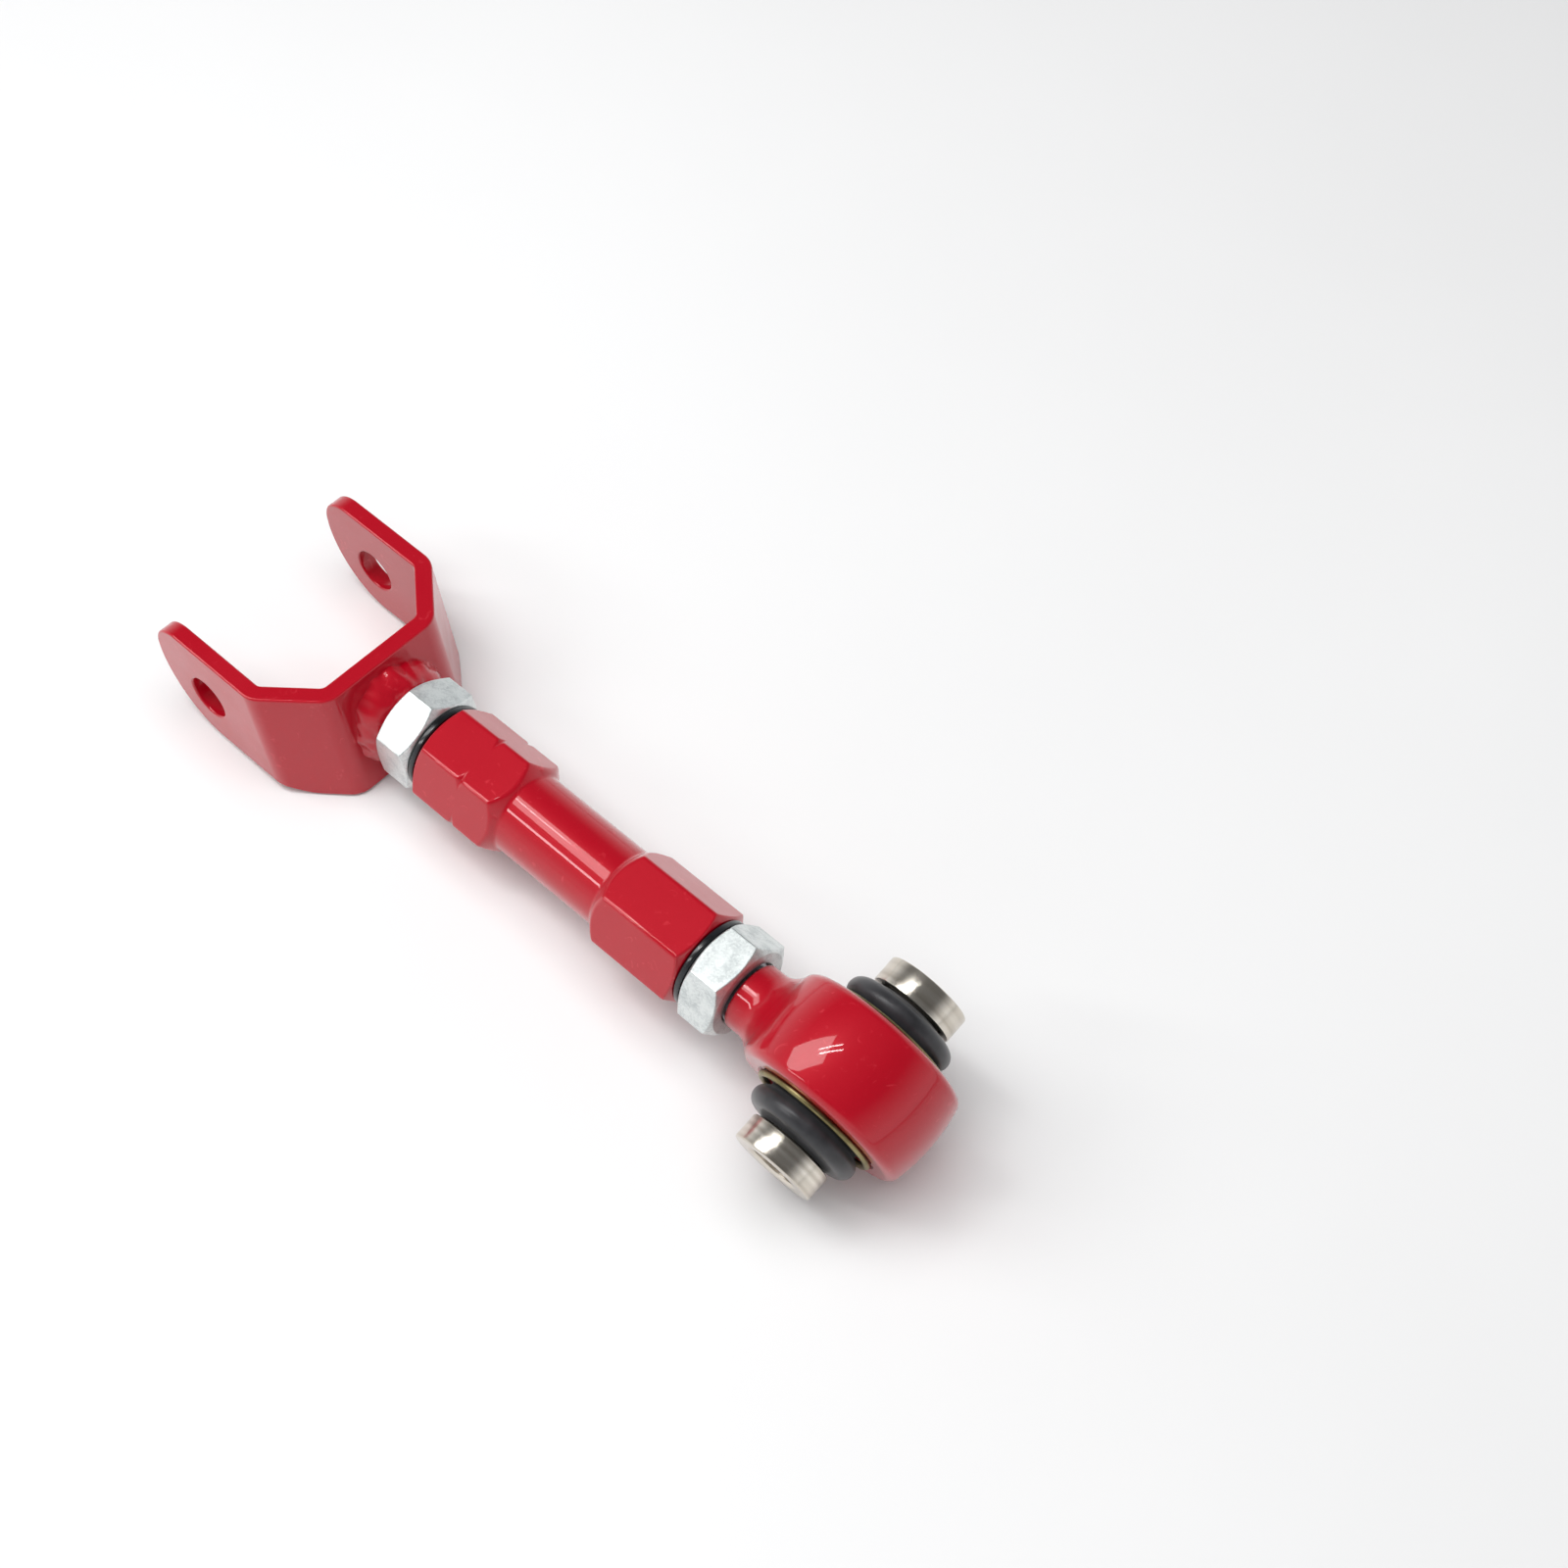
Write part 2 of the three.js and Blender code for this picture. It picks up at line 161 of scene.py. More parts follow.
def makeLights():
    for name, light in lights.items():
        data = bpy.data.lights.new(name, "AREA")
        data.shape = "RECTANGLE"
        data.size, data.size_y = light["size"]
        data.energy = light["power"]
        lamp = bpy.data.objects.new(name, data)
        place = Vector(light["at"])
        back = (place - Vector((0, 0, 0.03))).normalized()
        right = Vector(light["along"])
        right = (right - back * right.dot(back)).normalized()
        facing = Matrix((right, back.cross(right), back)).transposed().to_4x4()
        lamp.matrix_world = Matrix.Translation(place) @ facing
        lamp.visible_glossy = light["glossy"]
        bpy.context.scene.collection.objects.link(lamp)


def makeWorld():
    # pale walls that darken towards the ceiling
    world = bpy.data.worlds.new("studio")
    world.use_nodes = True
    tree = world.node_tree
    background = tree.nodes["Background"]
    background.inputs["Color"].default_value = worldLight["colour"]
    place = addNode(tree, "ShaderNodeTexCoord").outputs["Generated"]
    height = addNode(tree, "ShaderNodeSeparateXYZ", {"Vector": place}).outputs["Z"]
    strength = ramp(tree, height, worldLight["horizon"], worldLight["zenith"], 0.1, 0.6)
    tree.links.new(strength, background.inputs["Strength"])
    bpy.context.scene.world = world
    bpy.context.scene.view_settings.view_transform = "Standard"


def addNode(tree, kind, inputs=None, **settings):
    node = tree.nodes.new(kind)
    for key, value in settings.items():
        setattr(node, key, value)
    for key, value in (inputs or {}).items():
        if isinstance(value, bpy.types.NodeSocket):
            tree.links.new(value, node.inputs[key])
        else:
            node.inputs[key].default_value = value
    return node


def math2(tree, operation, a, b, clamp=False):
    return addNode(tree, "ShaderNodeMath", {0: a, 1: b}, operation=operation, use_clamp=clamp).outputs[0]


def newGroup(name, inputs, outputs):
    group = bpy.data.node_groups.new(name, "ShaderNodeTree")
    for label, value in inputs.items():
        socket = group.interface.new_socket(label, in_out="INPUT", socket_type="NodeSocketFloat")
        socket.default_value = value
    for label in outputs:
        group.interface.new_socket(label, in_out="OUTPUT", socket_type="NodeSocketFloat")
    return group, group.nodes.new("NodeGroupInput").outputs, group.nodes.new("NodeGroupOutput")


def noiseOf(tree, scale, detail=2.0, vector=None):
    vector = vector or addNode(tree, "ShaderNodeTexCoord").outputs["Object"]
    return addNode(
        tree, "ShaderNodeTexNoise", {"Vector": vector, "Scale": scale, "Detail": detail}
    ).outputs["Fac"]


def makeSprayGroup():
    # orange peel, fine flake and slow blotches of a sprayed or plated skin
    scales = {"peelScale": 500.0, "flakeScale": 9000.0, "blotchScale": 60.0}
    tree, given, out = newGroup("spraySkin", scales, ("Height", "Flake", "Blotch"))
    tree.links.new(noiseOf(tree, given["peelScale"]), out.inputs["Height"])
    tree.links.new(noiseOf(tree, given["flakeScale"], 0.0), out.inputs["Flake"])
    tree.links.new(noiseOf(tree, given["blotchScale"], 4.0), out.inputs["Blotch"])
    return tree


def makeEdgeGroup():
    # 1 along sharp edges, broken up by noise; the paint and the zinc use it both for rubbed edges and for a
    # painted highlight line along them
    settings = {"radius": 0.0004, "breakScale": 900.0, "amount": 1.0}
    tree, given, out = newGroup("edgeRubAndGlint", settings, ("Mask",))
    bevel = addNode(tree, "ShaderNodeBevel", {"Radius": given["radius"]}, samples=6)
    normal = addNode(tree, "ShaderNodeNewGeometry").outputs["Normal"]
    match = addNode(
        tree, "ShaderNodeVectorMath", {0: bevel.outputs[0], 1: normal}, operation="DOT_PRODUCT"
    ).outputs["Value"]
    turned = math2(tree, "SUBTRACT", 1.0, match)
    spread = math2(tree, "MULTIPLY", turned, 9.0, clamp=True)
    broken = math2(tree, "MULTIPLY", spread, noiseOf(tree, given["breakScale"], 3.0))
    tree.links.new(math2(tree, "MULTIPLY", broken, given["amount"], clamp=True), out.inputs["Mask"])
    return tree


def makeTurnedGroup():
    # lathe lines: noise that changes only along a turned piece's length and radius; the band output drives
    # painted sheen, colour bands that stand in for the banded reflections of turned metal
    tree, given, out = newGroup("turnedLines", {"lineScale": 4.0, "sheenBandScale": 0.35}, ("Height", "SheenBand"))
    place = addNode(tree, "ShaderNodeAttribute", attribute_name="turnedAt").outputs["Vector"]
    tree.links.new(noiseOf(tree, given["lineScale"], 3.0, place), out.inputs["Height"])
    tree.links.new(noiseOf(tree, given["sheenBandScale"], 1.0, place), out.inputs["SheenBand"])
    return tree


groups = {"spray": makeSprayGroup(), "edge": makeEdgeGroup(), "turned": makeTurnedGroup()}


def useGroup(tree, key, **values):
    node = tree.nodes.new("ShaderNodeGroup")
    node.node_tree = groups[key]
    for label, value in values.items():
        node.inputs[label].default_value = value
    return node.outputs


def ramp(tree, value, low, high, start=0.35, end=0.65):
    # colour or number that runs from low to high as value runs from start to end
    fac = addNode(
        tree, "ShaderNodeMapRange", {"Value": value, "From Min": start, "From Max": end}
    ).outputs["Result"]
    if isinstance(low, tuple):
        mix = addNode(tree, "ShaderNodeMix", {"Factor": fac}, data_type="RGBA")
        mix.inputs[6].default_value = (*low, 1)
        mix.inputs[7].default_value = (*high, 1)
        return mix.outputs[2]
    spread = addNode(tree, "ShaderNodeMapRange", {"Value": fac, "To Min": low, "To Max": high})
    return spread.outputs["Result"]


def mixColour(tree, fac, first, second):
    mix = addNode(tree, "ShaderNodeMix", {"Factor": fac}, data_type="RGBA")
    for index, colour in ((6, first), (7, second)):
        if isinstance(colour, tuple):
            mix.inputs[index].default_value = (*colour, 1)
        else:
            tree.links.new(colour, mix.inputs[index])
    return mix.outputs[2]


def bump(tree, height, distance, strength=1.0):
    return addNode(
        tree, "ShaderNodeBump", {"Height": height, "Distance": distance, "Strength": strength}
    ).outputs["Normal"]


def newMaterial(name):
    material = bpy.data.materials.new(name)
    material.use_nodes = True
    tree = material.node_tree
    return material, tree, tree.nodes["Principled BSDF"]


def feed(tree, shader, sockets):
    for label, value in sockets.items():
        socket = shader.inputs[label]
        if isinstance(value, bpy.types.NodeSocket):
            tree.links.new(value, socket)
        else:
            socket.default_value = value


# the lighter pink red used along edges and in the scuffs is partly rubbed paint, partly a painted highlight
paintLook = {"deep": (0.36, 0.0003, 0.008), "bright": (0.47, 0.0008, 0.014), "rubbedAndHighlight": (0.7, 0.05, 0.07)}


def makePaint():
    material, tree, shader = newMaterial("redPaint")
    skin = useGroup(tree, "spray", peelScale=420.0, flakeScale=14000.0, blotchScale=45.0)
    rubAndGlint = useGroup(tree, "edge", radius=0.0006, breakScale=700.0, amount=0.55)
    colour = ramp(tree, skin["Flake"], paintLook["deep"], paintLook["bright"], 0.3, 0.7)
    coords = addNode(tree, "ShaderNodeTexCoord").outputs["Object"]
    markSettings = {"Vector": coords, "Scale": 260.0, "Detail": 9.0, "Distortion": 1.6}
    marks = addNode(tree, "ShaderNodeTexNoise", markSettings)
    scuffs = ramp(tree, marks.outputs["Fac"], 0.0, 0.3, 0.64, 0.72)
    colour = mixColour(tree, scuffs, colour, paintLook["rubbedAndHighlight"])
    sockets = {
        # edges lightened towards pink: rubbed paint and a painted highlight line
        "Base Color": mixColour(tree, rubAndGlint["Mask"], colour, paintLook["rubbedAndHighlight"]),
        "Metallic": 0.12,
        "Roughness": ramp(tree, skin["Blotch"], 0.3, 0.42),
        "Specular IOR Level": 0.15,
        "Coat Weight": 0.9,
        "Coat Roughness": 0.045,
        "Normal": bump(tree, skin["Height"], 0.000008),
    }
    feed(tree, shader, sockets)
    return material


# the near-white edge colour is partly rubbed plating, partly a painted highlight line along the edges
# between the hex flats
zincLook = {"light": (0.74, 0.78, 0.77), "dull": (0.56, 0.6, 0.6), "edge": (0.92, 0.95, 0.95)}


def makeZinc():
    material, tree, shader = newMaterial("zincPlate")
    skin = useGroup(tree, "spray", peelScale=1500.0, flakeScale=3500.0, blotchScale=260.0)
    rubAndGlint = useGroup(tree, "edge", radius=0.0005, breakScale=1200.0, amount=0.9)
    coords = addNode(tree, "ShaderNodeTexCoord").outputs["Object"]
    spangle = addNode(tree, "ShaderNodeTexVoronoi", {"Vector": coords, "Scale": 2200.0, "Randomness": 1.0})
    grains = addNode(tree, "ShaderNodeSeparateColor", {"Color": spangle.outputs["Color"]}).outputs[0]
    grainShare = math2(tree, "MULTIPLY", grains, 0.22)
    patch = math2(tree, "ADD", grainShare, math2(tree, "MULTIPLY", skin["Blotch"], 0.78))
    colour = ramp(tree, patch, zincLook["dull"], zincLook["light"], 0.3, 0.6)
    sockets = {
        # edges mixed towards near white: rubbed plating and a painted highlight
        "Base Color": mixColour(tree, rubAndGlint["Mask"], colour, zincLook["edge"]),
        "Metallic": 0.85,
        "Roughness": ramp(tree, patch, 0.46, 0.33, 0.3, 0.65),
        "Normal": bump(tree, skin["Flake"], 0.000006),
    }
    feed(tree, shader, sockets)
    return material


def makeMetal(name, dark, light, roughness, lines=None, bumpDepth=0.00001, metallic=1.0):
    # bare or plated metal: lathe lines where the piece was turned, otherwise a fine skin; on turned pieces
    # the colour runs dark to light in painted sheen bands, on the others in random blotches
    material, tree, shader = newMaterial(name)
    if lines:
        marks = useGroup(tree, "turned", **lines)
        toneAndSheen, height = marks["SheenBand"], marks["Height"]
    else:
        marks = useGroup(tree, "spray", peelScale=2500.0, flakeScale=6000.0, blotchScale=180.0)
        toneAndSheen, height = marks["Blotch"], marks["Height"]
    sockets = {
        # painted sheen bands on turned pieces, random tone on the others
        "Base Color": ramp(tree, toneAndSheen, dark, light, 0.3, 0.7),
        "Metallic": metallic,
        "Roughness": ramp(tree, height, roughness[0], roughness[1]),
        "Normal": bump(tree, height, bumpDepth),
    }
    feed(tree, shader, sockets)
    return material


def makeRubber():
    material, tree, shader = newMaterial("bootRubber")
    skin = useGroup(tree, "spray", peelScale=3000.0, flakeScale=9000.0, blotchScale=150.0)
    sockets = {
        "Base Color": ramp(tree, skin["Blotch"], (0.014, 0.014, 0.016), (0.034, 0.034, 0.038)),
        "Roughness": ramp(tree, skin["Blotch"], 0.3, 0.42),
        "Sheen Weight": 0.1,
        "Normal": bump(tree, skin["Height"], 0.00002),
    }
    feed(tree, shader, sockets)
    return material


def makeBlackRing():
    material, tree, shader = newMaterial("blackRing")
    skin = useGroup(tree, "spray", peelScale=900.0, flakeScale=9000.0, blotchScale=200.0)
    sockets = {
        "Base Color": ramp(tree, skin["Blotch"], (0.004, 0.004, 0.005), (0.009, 0.01, 0.013)),
        "Roughness": ramp(tree, skin["Blotch"], 0.2, 0.3),
        "Coat Weight": 0.3,
        "Coat Roughness": 0.08,
        "Normal": bump(tree, skin["Height"], 0.00001),
    }
    feed(tree, shader, sockets)
    return material


def makeFloorPaint():
    material, tree, shader = newMaterial("paleFloor")
    skin = useGroup(tree, "spray", peelScale=300.0, flakeScale=900.0, blotchScale=3.0)
    sockets = {
        "Base Color": ramp(tree, skin["Blotch"], (0.8, 0.8, 0.8), (0.83, 0.83, 0.83)),
        "Roughness": 0.7,
    }
    feed(tree, shader, sockets)
    return material


def makeLiner():
    material, tree, shader = newMaterial("linerCloth")
    coords = addNode(tree, "ShaderNodeTexCoord").outputs["Object"]
    weave = addNode(tree, "ShaderNodeTexWave", {"Vector": coords, "Scale": 900.0, "Distortion": 2.0})
    sockets = {
        "Base Color": ramp(tree, weave.outputs["Fac"], (0.09, 0.06, 0.035), (0.2, 0.15, 0.09)),
        "Roughness": 0.75,
        "Normal": bump(tree, weave.outputs["Fac"], 0.00003),
    }
    feed(tree, shader, sockets)
    return material


looks = {
    "paint": makePaint(),
    "zinc": makeZinc(),
    "black": makeBlackRing(),
    "rubber": makeRubber(),
    "gold": makeMetal("goldWire", (0.16, 0.13, 0.055), (0.34, 0.29, 0.14), (0.3, 0.45)),
    # the turned stainless and the bearing steel carry painted sheen bands in their colour
    "stainless": makeMetal(
        "turnedStainless",
        (0.5, 0.45, 0.38),
        (0.8, 0.75, 0.67),
        (0.14, 0.26),
        {"lineScale": 9.0, "sheenBandScale": 0.5},
        metallic=0.95,
    ),
    "thread": makeMetal("threadSteel", (0.3, 0.31, 0.33), (0.52, 0.53, 0.55), (0.3, 0.42)),
    "race": makeMetal(
        "bearingSteel",
        (0.5, 0.5, 0.52),
        (0.66, 0.66, 0.68),
        (0.12, 0.22),
        {"lineScale": 6.0, "sheenBandScale": 0.3},
    ),
    "clip": makeMetal("clipSteel", (0.08, 0.08, 0.085), (0.18, 0.18, 0.19), (0.35, 0.5)),
    "liner": makeLiner(),
}
print("materials made")


def rounded(points, steps=5):
    # closed outline from (x, y, rounding) corners
    line = []
    for i, (x, y, bend) in enumerate(points):
        here = Vector((x, y))
        if not bend:
            line.append((x, y))
            continue
        before = (Vector(points[i - 1][:2]) - here).normalized()
        after = (Vector(points[(i + 1) % len(points)][:2]) - here).normalized()
        half = before.angle(after) / 2
        centre = here + (before + after).normalized() * bend / math.sin(half)
        first = here + before * bend / math.tan(half) - centre
        last = here + after * bend / math.tan(half) - centre
        swing = math.pi - 2 * half
        for k in range(steps + 1):
            part = k / steps
            point = first * math.sin((1 - part) * swing) + last * math.sin(part * swing)
            line.append(tuple(centre + point / math.sin(swing)))
    return line


def dense(profile, step=0.25):
    # closed profile with its slanting stretches cut into short ones
    line = []
    for i, (x, r) in enumerate(profile):
        nextX, nextR = profile[(i + 1) % len(profile)]
        slanted = min(abs(nextX - x), abs(nextR - r)) > 0.05
        parts = math.ceil(math.hypot(nextX - x, nextR - r) / step) if slanted else 1
        line += [(x + (nextX - x) * k / parts, r + (nextR - r) * k / parts) for k in range(parts)]
    return line


def evenAngles(sides):
    return [2 * math.pi * k / sides for k in range(sides)]


def tubeFaces(columns, count, gap=False):
    # quads between columns of count points, each column a closed loop
    faces = []
    for j in range(columns - (1 if gap else 0)):
        k = (j + 1) % columns
        for i in range(count):
            m = (i + 1) % count
            faces.append((j * count + i, j * count + m, k * count + m, k * count + i))
    return faces


def spin(profile, angles, limit=None, gap=False):
    # closed (x, radius) profile swept round X, cut down by limit(angle, radius) where there is one
    verts = []
    count = len(profile)
    for angle in angles:
        for x, r in profile:
            r = limit(angle, r) if limit else r
            verts.append((x, r * math.cos(angle), r * math.sin(angle)))
    faces = tubeFaces(len(angles), count, gap)
    if gap:
        faces.append(tuple(range(count)))
        faces.append(tuple(range(len(verts) - count, len(verts))))
    return verts, faces


def cleaned(verts, faces, fill=False):
    mesh = bpy.data.meshes.new("work")
    mesh.from_pydata(verts, [], faces)
    bm = bmesh.new()
    bm.from_mesh(mesh)
    bpy.data.meshes.remove(mesh)
    bmesh.ops.remove_doubles(bm, verts=bm.verts, dist=0.002)
    bmesh.ops.dissolve_degenerate(bm, edges=bm.edges, dist=0.0005)
    if fill:
        bmesh.ops.holes_fill(bm, edges=[edge for edge in bm.edges if edge.is_boundary])
    bmesh.ops.recalc_face_normals(bm, faces=bm.faces)
    return bm


def finishMesh(mesh, place, sharp, turned):
    if turned:
        # where each point is along and out from its own turning axis, for the lathe lines
        marks = mesh.attributes.new("turnedAt", "FLOAT_VECTOR", "POINT")
        for vert, mark in zip(mesh.vertices, marks.data):
            mark.vector = (vert.co.x, math.hypot(vert.co.y, vert.co.z), 0)
    mesh.transform(place)
    mesh.polygons.foreach_set("use_smooth", [True] * len(mesh.polygons))
    mesh.set_sharp_from_angle(angle=math.radians(sharp))


def makePiece(name, bm, look, place, body, slot, nodes, sharp=32, turned=False, weighted=False):
    mesh = bpy.data.meshes.new(name)
    bm.to_mesh(mesh)
    bm.free()
    finishMesh(mesh, place, sharp, turned)
    mesh.materials.append(looks[look])
    piece = bpy.data.objects.new(name, mesh)
    bpy.context.scene.collection.objects.link(piece)
    if weighted:
        modifier = piece.modifiers.new("flatFaces", "WEIGHTED_NORMAL")
        modifier.keep_sharp = True
    if body:
        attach(piece, body)
    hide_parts(*nodes)
    return piece


def modified(bm, kind, **settings):
    # the mesh after one modifier
    mesh = bpy.data.meshes.new("work")
    bm.to_mesh(mesh)
    bm.free()
    holder = bpy.data.objects.new("work", mesh)
    bpy.context.scene.collection.objects.link(holder)
    modifier = holder.modifiers.new(kind, kind)
    for key, value in settings.items():
        setattr(modifier, key, value)
    bpy.context.view_layer.update()
    result = bpy.data.meshes.new_from_object(holder.evaluated_get(bpy.context.evaluated_depsgraph_get()))
    bpy.data.objects.remove(holder)
    out = bmesh.new()
    out.from_mesh(result)
    bpy.data.meshes.remove(result)
    return out


# the fork bracket is a flat blank with its holes, bent on four lines, with the back leaning
forkSet = {
    "plate": 5,
    "gapHalf": 28.15,
    "backX": 35.6,
    "cornerX": 13.2,
    "cornerY": 11.4,
    "bend": 5.0,
    "top": 18.4,
    "bottom": -18.6,
    "earBottom": -15.6,
    "tipRound": 9.5,
    "hole": 6.5,
    "lean": math.tan(math.radians(10.4)),
    "edge": 0.6,
}


def forkPath():
    # the plate's middle line seen from above, from the back's middle to the end of the ear
    f = forkSet
    middle = f["plate"] / 2
    slant = math.atan2(f["cornerX"], f["cornerY"])
    turns = [slant, math.pi / 2 - slant]
    backLine = f["backX"] + middle
    innerCorner = Vector((f["backX"], f["gapHalf"] - f["cornerY"]))
    outerCorner = Vector((f["backX"] - f["cornerX"], f["gapHalf"]))
    first = innerCorner + Vector((middle, middle * math.tan(turns[0] / 2)))
    second = outerCorner + Vector((middle * math.tan(turns[1] / 2), middle))
    reach = [f["bend"] * math.tan(turn / 2) for turn in turns]
    lengths = [first.y - reach[0], (second - first).length - sum(reach), second.x - reach[1] - tipX + 20]
    path = [(0.0, Vector((backLine, 0)), 0.0)]
    for length, turn in zip(lengths, turns + [0]):
        at, point, heading = path[-1]
        forward = Vector((-math.sin(heading), math.cos(heading)))
        path.append((at + length, point + forward * length, heading))
        steps = 10
        for _ in range(steps if turn else 0):
            at, point, heading = path[-1]
            heading += turn / steps
            chord = 2 * f["bend"] * math.sin(turn / steps / 2)
            forward = Vector((-math.sin(heading - turn / steps / 2), math.cos(heading - turn / steps / 2)))
            path.append((at + f["bend"] * turn / steps, point + forward * chord, heading))
    return path


def bezier(a, b, c, d, steps=14):
    a, b, c, d = (Vector(p) for p in (a, b, c, d))
    parts = [k / steps for k in range(1, steps + 1)]
    return [a * (1 - t) ** 3 + b * 3 * t * (1 - t) ** 2 + c * 3 * t * t * (1 - t) + d * t**3 for t in parts]


def earOutline():
    # half of the plate's outline seen from the side, from the top of the back round the tip to the bottom
    f = forkSet
    tipCentre = Vector((tipX + f["tipRound"], f["top"] - f["tipRound"]))
    points = [Vector((f["backX"] - f["cornerX"], f["top"]))]
    for k in range(13):
        angle = math.pi / 2 * (1 + k / 12)
        points.append(tipCentre + Vector((math.cos(angle), math.sin(angle))) * f["tipRound"])
    points += bezier(points[-1], (tipX, -4), (-9, f["earBottom"]), (2, f["earBottom"]), 20)
    points.append(Vector((f["backX"] - f["cornerX"], f["earBottom"])))
    easeX = f["backX"] - 7
    points += bezier(points[-1], (easeX, f["earBottom"]), (easeX, f["bottom"]), (f["backX"], f["bottom"]))
    return points


def flatBlank():
    # 2D curve of the blank, thickened with rounded edges
    f = forkSet
    path = forkPath()
    xs = [point.x for _, point, _ in path][::-1]
    us = [at for at, _, _ in path][::-1]

    def toBlank(x, z):
        return float(np.interp(x + f["lean"] * z, xs, us)), z

    half = [toBlank(p.x, p.y) for p in earOutline()]
    outline = half + [(-u, v) for u, v in reversed(half)]
    curve = bpy.data.curves.new("blank", "CURVE")
    curve.dimensions = "2D"
    curve.fill_mode = "BOTH"
    curve.bevel_depth = f["edge"]
    curve.bevel_resolution = 3
    curve.offset = -f["edge"]
    curve.extrude = f["plate"] / 2 - f["edge"]
    ring = [(f["hole"] * math.cos(a), f["hole"] * math.sin(a)) for a in evenAngles(56)]
    holes = [[toBlank(x, z) for x, z in ring], [(-u, v) for u, v in (toBlank(x, z) for x, z in ring)]]
    for loop in [outline, *holes]:
        spline = curve.splines.new("POLY")
        spline.points.add(len(loop) - 1)
        for point, (u, v) in zip(spline.points, loop):
            point.co = (u, v, 0, 1)
        spline.use_cyclic_u = True
    holder = bpy.data.objects.new("blank", curve)
    bpy.context.scene.collection.objects.link(holder)
    bpy.context.view_layer.update()
    mesh = bpy.data.meshes.new_from_object(holder.evaluated_get(bpy.context.evaluated_depsgraph_get()))
    bpy.data.objects.remove(holder)
    bm = bmesh.new()
    bm.from_mesh(mesh)
    bpy.data.meshes.remove(mesh)
    bmesh.ops.remove_doubles(bm, verts=bm.verts, dist=0.005)
    cuts = [at for at, _, _ in path[1:-1]]
    for at in cuts + [-at for at in cuts]:
        everything = bm.verts[:] + bm.edges[:] + bm.faces[:]
        bmesh.ops.bisect_plane(bm, geom=everything, dist=0.001, plane_co=(at, 0, 0), plane_no=(1, 0, 0))
    return bm, path


def makeFork():
    bm, path = flatBlank()
    ats = [at for at, _, _ in path]
    xs = [point.x for _, point, _ in path]
    ys = [point.y for _, point, _ in path]
    turns = [heading for _, _, heading in path]
    for vert in bm.verts:
        u, v, w = vert.co
        x, y, turn = (np.interp(abs(u), ats, row) for row in (xs, ys, turns))
        side = 1 if u >= 0 else -1
        x += w * math.cos(turn) - forkSet["lean"] * v
        vert.co = (x, side * (y + w * math.sin(turn)), v)
    bmesh.ops.recalc_face_normals(bm, faces=bm.faces)
    makePiece(
        "forkBracket", bm, "paint", armFrame, "fork", "red_paint", ["fork_bracket"], sharp=60, weighted=True
    )


makeFork()
print("fork bracket made")

threadSet = {"radius": 8.9, "pitch": 1.5, "depth": 0.92, "sides": 72}


def makeThread(start, end, hand):
    # hand is 1 for a right-hand thread and -1 for a left-hand one
    t = threadSet
    root = t["radius"] - t["depth"]
    corners = [(0, t["radius"]), (0.14, t["radius"]), (0.44, root), (0.7, root)]
    pitches = range(-2, math.ceil((end - start) / t["pitch"]) + 2)
    rows = [(start + (k + part) * t["pitch"], r) for k in pitches for part, r in corners]
    sides = t["sides"]
    verts, faces = [], []
    for row, (x, r) in enumerate(rows):
        for j in range(sides):
            angle = 2 * math.pi * j / sides
            at = min(max(x + hand * t["pitch"] * j / sides, start), end)
            radius = min(r, root - 0.3 + min(at - start, end - at))
            verts.append((at, radius * math.cos(angle), radius * math.sin(angle)))
    for row in range(len(rows) - 1):
        for j in range(sides):
            near, far = row * sides + j, (row + 1) * sides + j
            nextNear, nextFar = near + 1, far + 1
            if j == sides - 1:
                # the last column meets the first one a pitch further on
                shift = hand * len(corners)
                nextNear = min(max(row + shift, 0), len(rows) - 1) * sides
                nextFar = min(max(row + 1 + shift, 0), len(rows) - 1) * sides
            quad = (near, far, nextFar, nextNear)
            if len(set(quad)) > 2:
                faces.append(tuple(dict.fromkeys(quad)))
    return cleaned(verts, faces, fill=True)


studSet = {"bossRadius": 10.5, "bossStart": 36.5, "bossEnd": 45.9, "round": 0.7}


def makeStud():
    s = studSet
    bossProfile = [
        (s["bossStart"], 1, 0),
        (s["bossStart"], s["bossRadius"], 0),
        (s["bossEnd"], s["bossRadius"], s["round"]),
        (s["bossEnd"], threadSet["radius"] - 1.2, 0),
        (s["bossEnd"] - 3, 1, 0),
    ]
    boss = cleaned(*spin(rounded(bossProfile), evenAngles(96)))
    makePiece("forkBoss", boss, "paint", armFrame, "fork", "red_paint", ["fork_stud"])
    thread = makeThread(s["bossEnd"] - 2, span("fork_stud")[1], -1)
    makePiece("forkThread", thread, "thread", armFrame, "fork", "zinc_plate", ["fork_stud"])


weldSet = {
    "inner": 10.2,
    "across": 5.0,
    "end": 45.8,
    "stop": 46.15,
    "slope": 1.2,
    "lump": 1.5,
    "lumpSize": 6.5,
    "sides": 220,
}


